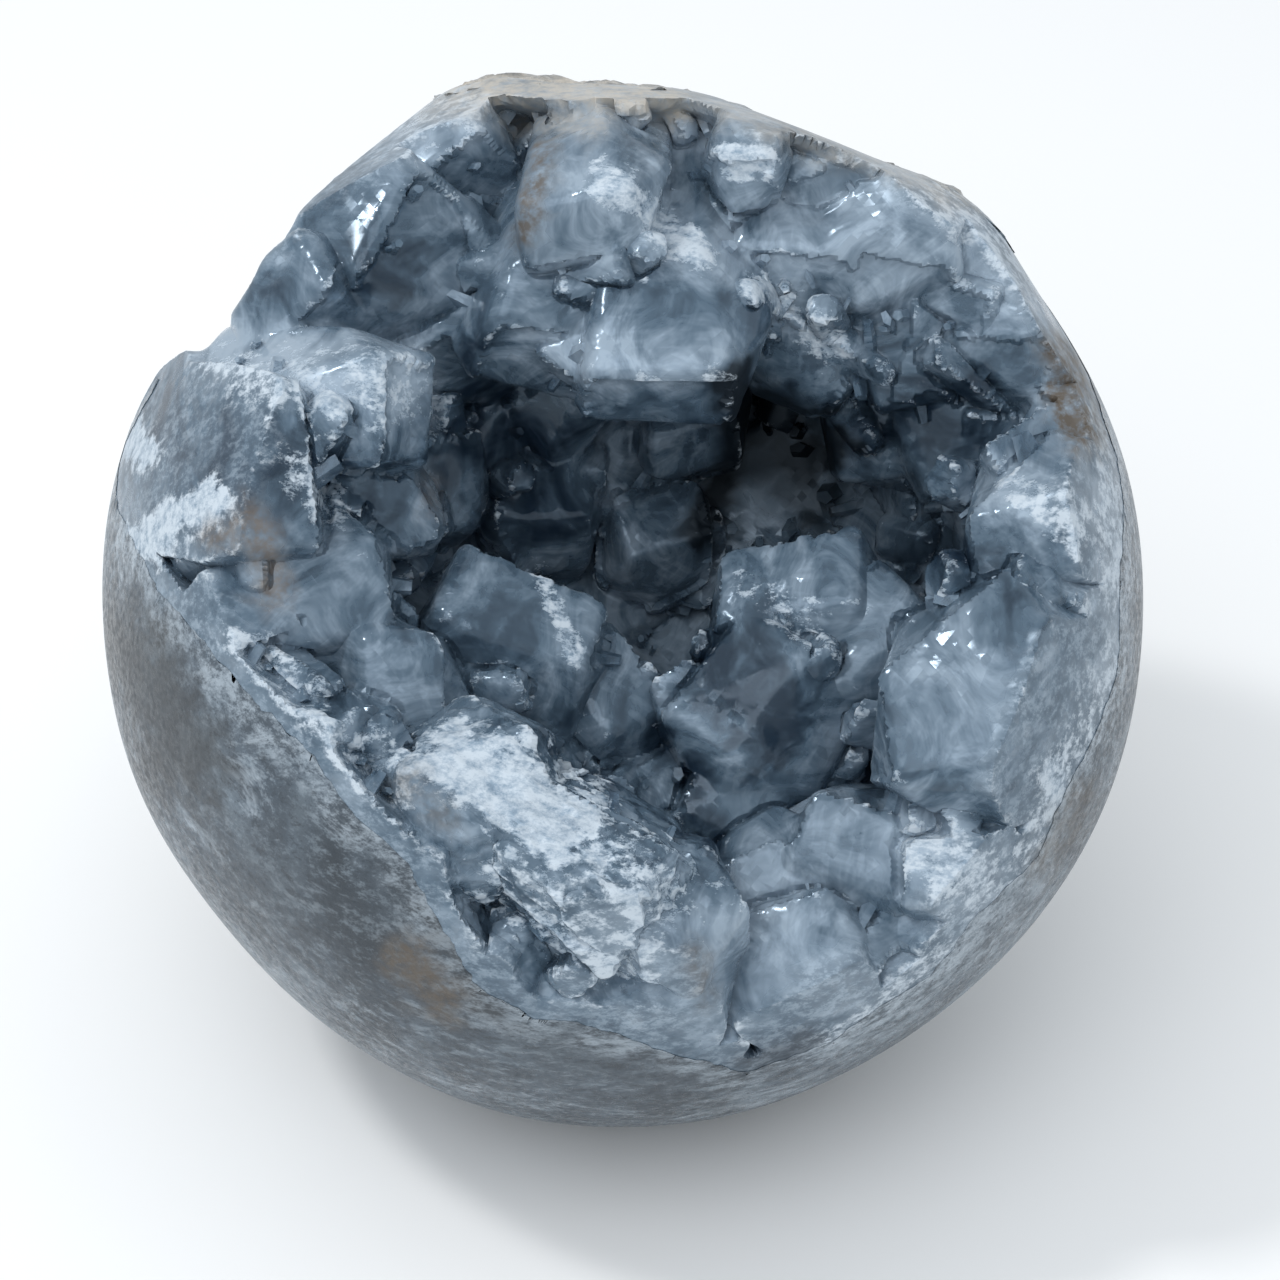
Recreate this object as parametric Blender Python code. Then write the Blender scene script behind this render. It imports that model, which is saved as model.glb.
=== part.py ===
"""Celestite geode: a tumbled ball of rock about 80 mm across, broken open on one side to a hollow
that is lined with blocky blue-grey celestite crystals. Metres, +Z up. The ball rests on a small
flat foot, whose middle is the origin, and the mouth of the hollow faces -Y and up.

Places inside the ball are given face on to the mouth, in millimetres from the middle of the ball:
right, up, and out towards someone who looks square into the mouth."""

import math
import random

import bmesh
import bpy
from mathutils import Matrix, Vector, noise

MM = 0.001

# Driving dimensions, in metres and degrees
BALL_RADIUS = 0.040
FOOT_RADIUS = 0.012
MOUTH_ELEVATION = 35.0
CRUST_THICKNESS = 0.0056
CRUST_EDGE_SHARE = 0.3
CRUST_ROW_GROWTH = 0.4
CRUST_GAP = 0.0005
CRYSTAL_SETBACK = 0.0003
WAVINESS = 0.00035
WAVE_PITCH = 2.3
WELD = 0.00002

BALL_CENTRE = Vector((0.0, 0.0, math.sqrt(BALL_RADIUS**2 - FOOT_RADIUS**2)))

# Swellings and dents of the tumbled ball: direction face on, height in mm, spread in degrees
LUMPS = (
    ((-11, 40, 2), 2.0, 9),
    ((27, 30, 6), 1.0, 8),
    ((16, 37, 4), -1.8, 9),
    ((-30, -24, 8), -0.9, 22),
)

# Upper left break: its broken edge face on, then corners well clear of the ball, in mm
BREAK_EDGE = ((-14.0, 38.8), (-22.1, 28.7), (-30.2, 18.8), (-34.8, 16.9), (-37.6, 13.2), (-41.0, 8.6))
BREAK_CLEAR = ((-60.0, 12.0), (-60.0, 60.0), (-14.0, 60.0))
BREAK_SLICES = (45.0, 18.0, 10.0, 3.0, -4.0, -11.0, -18.0, -45.0)
BREAK_ROUGHNESS = 0.7
BREAK_SEED = 3

# Edge of the mouth, anticlockwise from the right: right, up and out, in mm
MOUTH_EDGE = (
    (37.6, 6.5, 12.0),
    (36.4, 13.5, 9.5),
    (33.8, 21.0, 4.5),
    (28.0, 28.5, 3.0),
    (19.8, 33.0, 6.5),
    (10.6, 36.4, 8.0),
    (2.2, 38.4, 6.5),
    (-8.6, 39.2, 0.5),
    (-18.5, 33.5, -3.0),
    (-26.0, 25.5, -2.0),
    (-33.0, 17.8, 2.0),
    (-38.2, 10.5, 5.0),
    (-35.5, 3.2, 18.0),
    (-30.0, -3.0, 26.3),
    (-22.6, -10.0, 31.5),
    (-15.4, -18.2, 32.1),
    (-11.0, -27.0, 27.4),
    (-1.5, -30.6, 25.8),
    (9.0, -34.4, 18.3),
    (17.5, -30.3, 19.4),
    (26.0, -22.7, 20.2),
    (32.2, -15.0, 18.3),
    (35.4, -8.8, 16.5),
    (36.9, -1.2, 15.4),
)
MOUTH_CHIPS = 0.9
CHIP_PLACES = (0.3, 0.7)
CHIP_RISE = 0.6
MOUTH_SEED = 5
MOUTH_MIDDLE = (2.0, 4.0, 6.0)
HOLLOW_BOTTOM = (6.0, 9.0, -19.0)
MOUTH_FLARE = 1.12
FRONT_REACH = 50.0
HOLLOW_STEPS = (0.12, 0.30, 0.52, 0.76)
HOLLOW_FULLNESS = 0.96
HOLLOW_DEPTH_SHARE = 0.12

# Large crystals: name, root, tip, width across the sight line, thickness, turn in degrees
LARGE_CRYSTALS = (
    ("roof block", (3.0, 34.0, 1.0), (3.4, 15.4, 16.6), 15.0, 13.0, 4),
    ("roof block left", (-6.0, 33.0, -2.0), (-4.6, 19.0, 14.0), 14.3, 11.7, -12),
    ("roof wedge", (-1.5, 36.0, 2.0), (-2.0, 27.0, 18.5), 11.7, 10.4, 20),
    ("frosted stub", (9.6, 36.0, 4.0), (9.2, 31.6, 16.0), 6.0, 6.0, 10),
    ("cap", (-10.0, 30.0, -6.0), (-14.6, 35.2, 10.0), 11.7, 11.7, 0),
    ("break face", (-10.0, 20.0, -8.0), (-19.6, 29.0, 15.0), 14.3, 13.0, 25),
    ("break tooth", (-15.0, 15.0, -8.0), (-25.4, 22.6, 16.0), 11.7, 10.4, -15),
    ("break step", (-9.0, 20.0, -8.0), (-14.4, 21.6, 11.0), 11.7, 10.4, 35),
    ("break inner", (-4.0, 24.0, -8.0), (-9.2, 23.0, 8.0), 10.4, 10.4, 10),
    ("ledge plate", (-36.0, 16.0, 4.0), (-14.8, 13.8, 22.0), 11.2, 13.0, 8),
    ("ledge block", (-35.0, 10.0, 2.0), (-25.0, 9.6, 27.5), 16.8, 13.4, 12),
    ("ledge shoulder", (-36.0, 12.0, -2.0), (-33.4, 12.0, 19.0), 13.0, 11.7, -20),
    ("ledge end", (-28.0, 8.0, -2.0), (-17.4, 8.4, 19.5), 13.0, 10.4, 30),
    ("dark cushion", (-8.0, 24.0, -16.0), (-4.0, 15.6, 0.5), 11.4, 9.6, 15),
    ("dark left", (-18.0, 14.0, -12.0), (-9.6, 11.6, 0.0), 11.2, 10.4, -10),
    ("dark middle", (-8.0, 4.0, -14.0), (-5.2, 8.6, -1.0), 10.4, 9.9, 40),
    ("dark corner", (-22.0, 10.0, -4.0), (-13.4, 8.8, 8.5), 10.4, 10.4, 22),
    ("dark root", (-4.0, 14.0, -18.0), (-0.4, 11.6, -6.5), 9.1, 9.1, 0),
    ("striped", (4.0, 22.0, -17.0), (5.8, 12.2, -2.0), 9.4, 8.3, 5),
    ("striped foot", (2.0, 2.0, -16.0), (2.6, 6.4, -4.0), 9.6, 9.1, 30),
    ("far wall left", (24.0, 16.0, -12.0), (18.6, 12.8, 2.5), 10.9, 9.9, -18),
    ("far wall right", (31.0, 14.0, -8.0), (24.2, 12.0, 8.0), 10.4, 10.4, 14),
    ("far wall cube", (32.0, 18.0, -4.0), (26.2, 16.0, 9.0), 5.2, 5.2, 45),
    ("upper right pale", (15.0, 32.0, -4.0), (13.4, 24.6, 13.0), 12.5, 10.9, 12),
    ("upper right ledge", (16.0, 27.0, -10.0), (13.6, 18.0, 10.0), 11.2, 10.4, -8),
    ("upper right wide", (22.0, 30.0, -6.0), (19.6, 25.0, 13.5), 12.2, 11.7, 28),
    ("upper right low", (26.0, 24.0, -10.0), (20.0, 19.0, 10.5), 11.7, 10.9, -20),
    ("upper right rim", (30.0, 26.0, -6.0), (25.6, 24.0, 11.5), 11.4, 10.4, 10),
    ("upper right outer", (34.0, 20.0, -6.0), (29.0, 19.0, 13.0), 11.2, 10.7, -30),
    ("upper right crown", (17.0, 35.0, -2.0), (16.4, 30.6, 13.0), 9.6, 9.1, 33),
    ("right window", (35.0, 8.0, -4.0), (29.8, 5.4, 20.5), 13.4, 11.6, 18),
    ("right window upper", (36.0, 12.0, -4.0), (32.6, 11.4, 14.0), 8.8, 8.6, -12),
    ("right big", (32.0, -10.0, -6.0), (25.4, -6.6, 26.0), 18.8, 16.8, 15),
    ("right big rim", (35.0, -10.0, -2.0), (32.4, -11.6, 19.0), 11.2, 10.9, 30),
    ("centre right", (17.0, -14.0, -10.0), (12.0, 1.6, 14.0), 15.7, 12.3, -10),
    ("centre right face", (14.0, -18.0, -6.0), (8.6, -6.4, 17.0), 14.8, 13.5, 36),
    ("centre right side", (24.0, -12.0, -12.0), (17.6, -3.0, 14.5), 12.2, 11.7, 12),
    ("centre block", (-13.0, -13.0, -4.0), (-6.4, -1.0, 17.5), 16.4, 13.4, 14),
    ("centre block side", (-8.0, -18.0, -6.0), (-1.0, -5.4, 14.5), 11.7, 11.7, -24),
    ("left margin high", (-28.0, 0.0, 0.0), (-20.6, 1.4, 24.5), 12.2, 11.7, 20),
    ("left margin low", (-22.0, -8.0, 4.0), (-15.0, -5.4, 25.0), 12.5, 11.2, -16),
    ("white mass upper", (-12.0, -18.0, 6.0), (-9.8, -12.2, 31.5), 14.3, 13.5, 24),
    ("white mass lower", (-2.0, -24.0, 6.0), (-1.6, -17.2, 32.5), 14.1, 13.0, -28),
    ("white mass tip", (2.0, -25.0, 6.0), (3.4, -20.8, 29.8), 10.9, 10.9, 38),
    ("pale foot", (2.0, -31.0, 6.0), (2.8, -25.6, 26.5), 11.7, 10.4, 8),
    ("cleft left", (1.0, -18.0, -8.0), (2.6, -12.6, 14.0), 8.6, 8.1, 30),
    ("cleft right", (8.0, -22.0, -4.0), (8.2, -14.6, 17.0), 10.4, 9.4, -12),
    ("lower step", (12.0, -26.0, 0.0), (11.4, -19.6, 21.5), 11.2, 10.4, 26),
    ("lower middle", (20.0, -22.0, -2.0), (17.4, -17.6, 23.0), 12.7, 11.7, -14),
    ("lower window", (14.0, -30.0, 2.0), (12.8, -26.0, 25.0), 12.0, 10.9, 12),
    ("lower window right", (20.0, -29.0, 2.0), (19.4, -26.4, 21.0), 10.1, 9.6, -30),
    ("lower leg", (10.0, -35.0, 4.0), (9.8, -31.6, 19.5), 7.8, 7.3, 20),
    ("bright stub", (26.0, -21.0, -2.0), (24.2, -18.8, 25.5), 10.4, 9.1, 10),
)
TIP_SHARE = 0.22
TIP_SHARE_SPREAD = (0.7, 1.3)
TIP_LEAN = 0.16
TIP_UNEVEN = (0.97, 1.03)
SHOULDER_SLOPE = 0.16
ROOT_TAPER = 0.86
SIDE_ON_LIMIT = 0.3
TIP_CORNERS = ((0.7, 0.4), (-0.6, 0.5), (-0.7, -0.4), (0.6, -0.5))
LARGE_SECTION = ((1, 0.34), (0.42, 1), (-0.5, 0.94), (-1, -0.3), (-0.4, -1), (0.52, -0.96))

# Small crystals that fill the wall between the large ones
FILL_SEED = 11
FILL_STEPS = (0.02, 0.2, 0.4, 0.6, 0.8)
FILL_WIDTH = (6.0, 9.0)
FILL_LENGTH = (6.0, 9.5)
FILL_ROOT = 2.0
FILL_LEAN = 0.4
FILL_FLATNESS = (0.7, 1.0)
SMALL_SECTION = ((0.95, 0.5), (-0.6, 0.95), (-0.95, -0.5), (0.6, -0.95))

# Squares along each side of the six faces of a cube that is blown up to the ball
BALL_SQUARES = 16
ENVELOPE_SQUARES = 10


def face_on(right, up, out):
    """World vector, in metres, of a face-on vector in millimetres."""
    tilt = math.radians(MOUTH_ELEVATION)
    right_axis = Vector((1.0, 0.0, 0.0))
    up_axis = Vector((0.0, math.sin(tilt), math.cos(tilt)))
    out_axis = Vector((0.0, -math.cos(tilt), math.sin(tilt)))
    return (right_axis * right + up_axis * up + out_axis * out) * MM


def place(right, up, out):
    """World point of a face-on place."""
    return BALL_CENTRE + face_on(right, up, out)


def scatter(source, reach):
    """A random vector with each side within a reach."""
    return Vector([source.uniform(-reach, reach) for _ in range(3)])


def ball_radius(direction, radius):
    """Distance from the middle of the ball to its tumbled surface in a direction."""
    for toward, height, spread in LUMPS:
        angle = math.degrees(direction.angle(face_on(*toward)))
        radius += height * MM * math.exp(-((angle / spread) ** 2))
    return radius + WAVINESS * noise.noise(direction * WAVE_PITCH)


def ball(squares, radius):
    """The tumbled ball as a closed mesh, still without its foot."""
    mesh = bmesh.new()
    bmesh.ops.create_cube(mesh, size=2.0)
    bmesh.ops.subdivide_edges(mesh, edges=mesh.edges, cuts=squares - 1, use_grid_fill=True)
    for vertex in mesh.verts:
        direction = Vector([math.tan(side * math.pi / 4) for side in vertex.co]).normalized()
        vertex.co = BALL_CENTRE + direction * ball_radius(direction, radius)
    bmesh.ops.triangulate(mesh, faces=mesh.faces)
    return mesh


def cut_foot(mesh):
    """Cuts the ball level at the ground and closes it with one flat face."""
    everything = mesh.verts[:] + mesh.edges[:] + mesh.faces[:]
    cut = bmesh.ops.bisect_plane(
        mesh, geom=everything, plane_co=(0, 0, 0), plane_no=(0, 0, -1), clear_outer=True
    )
    rim = [item for item in cut["geom_cut"] if isinstance(item, bmesh.types.BMEdge)]
    bmesh.ops.edgeloop_fill(mesh, edges=rim)


def broken_edge():
    """The mouth's edge with a chipped point between each pair of its points."""
    chips = random.Random(MOUTH_SEED)
    for start, end in zip(MOUTH_EDGE, MOUTH_EDGE[1:] + MOUTH_EDGE[:1]):
        start = Vector(start)
        yield start
        chip = start.lerp(Vector(end), chips.uniform(*CHIP_PLACES))
        to_surface = BALL_RADIUS / MM / chip.length - 1
        yield chip * (1 + CHIP_RISE * to_surface) + scatter(chips, MOUTH_CHIPS)


def hollow_line(edge):
    """One line down the wall of the hollow, from outside the mouth to just short of its bottom."""
    edge = Vector(edge)
    bottom = Vector(HOLLOW_BOTTOM)
    bend = bottom.lerp(edge, HOLLOW_FULLNESS)
    bend.z = bottom.z + (edge.z - bottom.z) * HOLLOW_DEPTH_SHARE
    yield Vector((edge.x * MOUTH_FLARE, edge.y * MOUTH_FLARE, FRONT_REACH))
    yield edge
    for step in HOLLOW_STEPS:
        yield edge * (1 - step) ** 2 + bend * 2 * step * (1 - step) + bottom * step**2


def hollow(gap, lining=0.0):
    """The hollow as a closed solid that runs out through the mouth, drawn in by a gap all over
    and by a lining that is thinner at the mouth's edge."""
    mesh = bmesh.new()
    depth = mesh.verts.layers.float.new("lining share")
    lines = [[mesh.verts.new(place(*spot)) for spot in hollow_line(edge)] for edge in broken_edge()]
    for line in lines:
        for row, vertex in enumerate(line):
            grown = CRUST_EDGE_SHARE + CRUST_ROW_GROWTH * max(0, row - 1)
            vertex[depth] = min(1.0, grown)
    bottom = mesh.verts.new(place(*HOLLOW_BOTTOM))
    bottom[depth] = 1.0
    for left, right in zip(lines, lines[1:] + lines[:1]):
        for (a, b), (c, d) in zip(zip(left, left[1:]), zip(right, right[1:])):
            mesh.faces.new((a, b, d))
            mesh.faces.new((a, d, c))
        mesh.faces.new((left[-1], bottom, right[-1]))
    mesh.faces.new([line[0] for line in lines])
    bmesh.ops.triangulate(mesh, faces=[face for face in mesh.faces if len(face.verts) > 3])
    bmesh.ops.recalc_face_normals(mesh, faces=mesh.faces)
    mesh.normal_update()
    moved = [vertex.co - vertex.normal * (gap + lining * vertex[depth]) for vertex in mesh.verts]
    for vertex, spot in zip(mesh.verts, moved):
        vertex.co = spot
    return mesh


def broken_corner():
    """A closed block with the break's outline, in slices from front to back whose edge is chipped."""
    mesh = bmesh.new()
    chips = random.Random(BREAK_SEED)
    slices = []
    for out in BREAK_SLICES:
        points = [Vector((right, up, out)) for right, up in BREAK_EDGE + BREAK_CLEAR]
        for point in points[: len(BREAK_EDGE)]:
            point += scatter(chips, BREAK_ROUGHNESS)
        slices.append([mesh.verts.new(place(*point)) for point in points])
    mesh.faces.new(slices[0])
    mesh.faces.new(slices[-1][::-1])
    for front, back in zip(slices, slices[1:]):
        for index in range(len(front)):
            after = (index + 1) % len(front)
            mesh.faces.new((front[after], front[index], back[index]))
            mesh.faces.new((front[after], back[index], back[after]))
    bmesh.ops.recalc_face_normals(mesh, faces=mesh.faces)
    return mesh


def crystal(root, tip, width, thickness, turn, section, shape):
    """A blocky crystal: a prism that tapers a little to its root, under a skew chisel tip."""
    axis = tip - root
    length = axis.length
    sight = face_on(0, 0, 1)
    across = axis.cross(sight)
    if across.length < SIDE_ON_LIMIT * length * sight.length:
        across = face_on(1, 0, 0)
    forward = axis.normalized()
    across = (across - forward * across.dot(forward)).normalized()
    across.rotate(Matrix.Rotation(math.radians(turn), 3, forward))
    deep = forward.cross(across)
    half_width = width / 2
    half_thickness = thickness / 2
    shoulder = 1 - TIP_SHARE * shape.uniform(*TIP_SHARE_SPREAD)
    lean = (shape.uniform(-TIP_LEAN, TIP_LEAN), shape.uniform(-TIP_LEAN, TIP_LEAN))
    points = []
    for x, y in section:
        side = across * x * half_width + deep * y * half_thickness
        points.append(root + side * ROOT_TAPER)
        slope = 1 - SHOULDER_SLOPE * (x * shape.uniform(-1, 1) + y * shape.uniform(-1, 1))
        points.append(root + forward * length * shoulder * slope + side)
    for x, y in TIP_CORNERS:
        side = across * (x + lean[0]) * half_width + deep * (y + lean[1]) * half_thickness
        points.append(root + forward * length * shape.uniform(*TIP_UNEVEN) + side)
    mesh = bmesh.new()
    for point in points:
        mesh.verts.new(point)
    bmesh.ops.convex_hull(mesh, input=mesh.verts)
    loose = [vertex for vertex in mesh.verts if not vertex.link_faces]
    bmesh.ops.delete(mesh, geom=loose, context="VERTS")
    bmesh.ops.recalc_face_normals(mesh, faces=mesh.faces)
    return mesh


def large_crystals():
    for index, (_, root, tip, width, thickness, turn) in enumerate(LARGE_CRYSTALS):
        shape = random.Random(index)
        yield crystal(place(*root), place(*tip), width * MM, thickness * MM, turn, LARGE_SECTION, shape)


def fill_crystals():
    """Crystals all round the wall, every few millimetres down it, that point at the middle."""
    shape = random.Random(FILL_SEED)
    middle = Vector(MOUTH_MIDDLE)
    for row, step in enumerate(FILL_STEPS):
        for index, edge in enumerate(MOUTH_EDGE):
            if row and (index + row) % 2:
                continue
            spots = list(hollow_line(edge))
            level = step * (len(spots) - 2) + 1
            low = min(int(level), len(spots) - 2)
            wall = spots[low].lerp(spots[low + 1], level - low)
            inward = (middle - wall).normalized()
            jitter = scatter(shape, FILL_LEAN)
            length = shape.uniform(*FILL_LENGTH)
            root = place(*(wall - inward * FILL_ROOT))
            tip = place(*(wall + (inward + jitter).normalized() * length))
            size = shape.uniform(*FILL_WIDTH)
            depth = size * shape.uniform(*FILL_FLATNESS)
            turn = shape.uniform(0, 90)
            yield crystal(root, tip, size * MM, depth * MM, turn, SMALL_SECTION, shape)


def to_object(name, mesh, collection=None):
    """Makes an object of a bmesh and puts it in the scene or in a collection of cutters."""
    data = bpy.data.meshes.new(name)
    mesh.to_mesh(data)
    mesh.free()
    thing = bpy.data.objects.new(name, data)
    (collection or bpy.context.scene.collection).objects.link(thing)
    return thing


def to_cutter(name, mesh, collection=None):
    thing = to_object(name, mesh, collection)
    thing.hide_render = True
    thing.display_type = "WIRE"
    return thing


def add_boolean(thing, name, operation, other):
    change = thing.modifiers.new(name, "BOOLEAN")
    change.operation = operation
    change.solver = "EXACT"
    if isinstance(other, bpy.types.Collection):
        change.operand_type = "COLLECTION"
        change.collection = other
    else:
        change.object = other


def connected_shells(mesh):
    """The mesh's faces, sorted into shells that touch along edges."""
    left = set(mesh.faces)
    while left:
        start = left.pop()
        shell = [start]
        waiting = [start]
        while waiting:
            face = waiting.pop()
            for edge in face.edges:
                for near in edge.link_faces:
                    if near in left:
                        left.remove(near)
                        shell.append(near)
                        waiting.append(near)
        yield shell


def settle(thing):
    """Applies the modifiers and keeps the largest shell, so that no pocket or loose chip is left."""
    bpy.context.view_layer.update()
    graph = bpy.context.evaluated_depsgraph_get()
    data = bpy.data.meshes.new_from_object(thing.evaluated_get(graph))
    thing.modifiers.clear()
    mesh = bmesh.new()
    mesh.from_mesh(data)
    bmesh.ops.remove_doubles(mesh, verts=mesh.verts, dist=WELD)
    bmesh.ops.triangulate(mesh, faces=[face for face in mesh.faces if len(face.verts) > 3])
    shells = sorted(connected_shells(mesh), key=len)
    for shell in shells[:-1]:
        bmesh.ops.delete(mesh, geom=shell, context="FACES")
    mesh.to_mesh(data)
    mesh.free()
    data.name = thing.name
    thing.data = data


def add_material(thing, name, colour, roughness):
    material = bpy.data.materials.new(name)
    material.use_nodes = True
    shader = material.node_tree.nodes["Principled BSDF"]
    shader.inputs["Base Color"].default_value = (*colour, 1.0)
    shader.inputs["Roughness"].default_value = roughness
    shader.inputs["Metallic"].default_value = 0.0
    thing.data.materials.clear()
    thing.data.materials.append(material)


def make_shell(cutaway):
    """The rock: the ball less the hollow and the broken corner."""
    mesh = ball(BALL_SQUARES, BALL_RADIUS)
    cut_foot(mesh)
    shell = to_object("geode_shell", mesh)
    add_boolean(shell, "broken corner", "DIFFERENCE", cutaway)
    add_boolean(shell, "hollow", "DIFFERENCE", to_cutter("hollow_space", hollow(0.0)))
    settle(shell)
    add_material(shell, "tumbled rock", (0.22, 0.25, 0.28), 0.35)
    shell.data.shade_smooth()
    shell.data.set_sharp_from_angle(angle=math.radians(25))


def make_crust(cutaway):
    """The crystals: a lining of the hollow with every crystal grown into it, inside the ball."""
    crystals = bpy.data.collections.new("crystals")
    bpy.context.scene.collection.children.link(crystals)
    for index, mesh in enumerate([*large_crystals(), *fill_crystals()]):
        to_cutter(f"crystal_{index:03d}", mesh, crystals)
    envelope = to_cutter("crust_envelope", ball(ENVELOPE_SQUARES, BALL_RADIUS - CRYSTAL_SETBACK))
    add_boolean(envelope, "broken corner", "DIFFERENCE", cutaway)
    add_boolean(envelope, "hollow", "INTERSECT", to_cutter("crust_room", hollow(CRUST_GAP)))
    crust = to_object("crystal_crust", hollow(0.0))
    open_hollow = to_cutter("open_hollow", hollow(CRUST_GAP, CRUST_THICKNESS))
    add_boolean(crust, "open hollow", "DIFFERENCE", open_hollow)
    add_boolean(crust, "crystals", "UNION", crystals)
    add_boolean(crust, "envelope", "INTERSECT", envelope)
    settle(crust)
    add_material(crust, "celestite", (0.16, 0.21, 0.26), 0.12)
    crust.data.shade_flat()


def main():
    for thing in list(bpy.data.objects):
        bpy.data.objects.remove(thing, do_unlink=True)
    cutaway = to_cutter("broken_corner", broken_corner())
    make_shell(cutaway)
    make_crust(cutaway)


main()
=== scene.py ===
"""Looks of the celestite geode: the tumbled rock, the crystals that line its hollow, the fine druse
between them, and a plain pale stage. It is laid out as a Blender add-on and run as a script.

Places on the stone are given face on to the mouth, in millimetres from the middle of the ball:
right, up, and out towards someone who looks square into the mouth."""

import math

import bmesh
import bpy
import numpy as np
from bpy.props import FloatProperty, FloatVectorProperty, IntProperty, PointerProperty
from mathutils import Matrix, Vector, kdtree, noise


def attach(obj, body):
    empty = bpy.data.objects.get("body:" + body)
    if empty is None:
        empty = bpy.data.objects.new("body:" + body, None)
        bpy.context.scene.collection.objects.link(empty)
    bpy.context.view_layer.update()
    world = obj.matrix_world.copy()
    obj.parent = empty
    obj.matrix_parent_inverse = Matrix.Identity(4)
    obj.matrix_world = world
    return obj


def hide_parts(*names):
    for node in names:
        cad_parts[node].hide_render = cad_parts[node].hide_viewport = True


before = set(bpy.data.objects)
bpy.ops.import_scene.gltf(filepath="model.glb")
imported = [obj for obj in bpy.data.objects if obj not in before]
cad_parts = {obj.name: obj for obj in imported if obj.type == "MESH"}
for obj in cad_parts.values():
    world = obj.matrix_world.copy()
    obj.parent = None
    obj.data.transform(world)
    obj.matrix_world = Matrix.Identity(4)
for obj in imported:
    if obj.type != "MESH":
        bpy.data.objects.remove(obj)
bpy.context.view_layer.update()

bl_info = {
    "name": "Celestite geode",
    "version": (1, 0, 0),
    "blender": (4, 5, 0),
    "location": "View3D > Sidebar > Geode",
    "description": "Builds the visible surface of a tumbled celestite geode around its solids",
    "category": "Object",
}

MM = 0.001


def srgb(code):
    """A hex colour as linear red, green and blue."""
    channels = [int(code[place : place + 2], 16) / 255 for place in (1, 3, 5)]
    return tuple(c / 12.92 if c <= 0.04045 else ((c + 0.055) / 1.055) ** 2.4 for c in channels)


# Form of the ball, as the solids have it
BALL_RADIUS = 40.0
FOOT_RADIUS = 12.0
MOUTH_ELEVATION = 35.0
BALL_CENTRE = Vector((0.0, 0.0, math.sqrt(BALL_RADIUS**2 - FOOT_RADIUS**2) * MM))
MOUTH_MIDDLE = (2.0, 4.0, 6.0)
LUMPS = (
    ((-11, 40, 2), 2.0, 9),
    ((27, 30, 6), 1.0, 8),
    ((16, 37, 4), -1.8, 9),
    ((-30, -24, 8), -0.9, 22),
)
WAVINESS = 0.35
WAVE_PITCH = 2.3

# Marks on the stone, face on, in mm: start, end, reach and strength. A round mark starts where it ends.
FROST = (
    ((-11.0, -11.0), (-4.0, -15.5), 4.6, 0.85),
    ((-4.0, -15.5), (2.5, -21.0), 4.6, 0.5),
    ((-8.0, -19.0), (0.0, -25.0), 4.0, 0.42),
    ((-11.7, -10.0), (-10.5, -10.5), 3.0, 1.0),
    ((-15.5, 36.5), (-12.0, 38.0), 4.0, 0.5),
    ((9.1, 32.3), (9.1, 32.3), 2.4, 0.85),
    ((-1.0, 31.0), (5.5, 26.0), 2.2, 0.62),
    ((-28.0, 17.0), (-16.0, 15.5), 4.2, 0.45),
    ((-37.0, 12.5), (-35.0, 11.5), 2.6, 0.85),
    ((-35.5, 4.8), (-29.0, 7.4), 2.4, 0.85),
    ((-23.5, 10.0), (-21.0, 7.4), 2.4, 0.5),
    ((28.5, 8.5), (33.0, 5.0), 2.4, 0.55),
    ((35.6, 6.5), (36.4, 3.0), 3.0, 0.6),
    ((23.0, -18.0), (25.5, -20.0), 3.6, 0.65),
    ((31.0, -12.5), (32.0, -13.5), 2.2, 0.75),
    ((-27.0, -2.5), (-14.5, -14.0), 2.2, 0.4),
    ((-22.0, -8.0), (-14.0, -12.5), 2.4, 0.42),
    ((23.0, 31.0), (32.0, 24.0), 3.4, 0.5),
    ((35.5, 14.0), (36.5, 0.0), 2.2, 0.5),
    ((36.0, -4.0), (29.0, -19.0), 2.6, 0.5),
    ((16.0, -32.0), (28.0, -23.5), 3.0, 0.5),
    ((10.0, 23.6), (12.5, 22.6), 1.8, 0.6),
    ((14.5, 20.0), (16.0, 19.0), 1.6, 0.6),
    ((9.5, 1.0), (14.0, -1.0), 2.4, 0.45),
    ((-6.5, 3.5), (-3.5, -3.5), 1.2, 0.6),
)
RUST = (
    ((-26.0, 6.0), (-24.5, 1.0), 2.2, 0.6),
    ((-29.0, 5.0), (-27.0, 4.6), 1.6, 0.5),
    ((-14.2, 9.2), (-14.0, 6.6), 1.3, 0.35),
)
EARTH = (
    ((33.0, 18.0), (34.0, 13.0), 3.0, 0.9),
    ((-5.4, 33.4), (-7.0, 27.0), 1.8, 0.8),
    ((-15.0, -12.6), (-12.0, -15.0), 2.0, 0.55),
    ((-15.4, -25.0), (-13.0, -28.0), 2.8, 0.7),
    ((5.0, -24.0), (5.8, -27.5), 1.4, 0.5),
    ((34.0, -14.0), (31.0, -19.0), 2.4, 0.45),
)
CREAM = (
    ((-14.0, 38.0), (-3.0, 39.0), 2.5, 0.4),
    ((-12.0, 40.0), (4.0, 38.0), 3.0, 0.8),
    ((4.0, 38.0), (26.0, 30.5), 2.2, 0.45),
    ((-8.0, 36.5), (-2.0, 35.5), 2.0, 0.5),
)
# Dark patches in the rock, and painted shade: the first and widest mark darkens the bottom of the ball,
# where shade falls
DARK_PATCHES_AND_PAINTED_SHADE = (
    ((-24.0, -20.0), (4.0, -33.0), 9.0, 0.5),
    ((-36.5, -3.0), (-31.5, -11.0), 5.6, 0.95),
    ((-14.0, -21.0), (-9.4, -29.0), 1.4, 0.9),
    ((-10.2, -28.4), (-9.8, -28.8), 1.5, 1.0),
)
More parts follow.
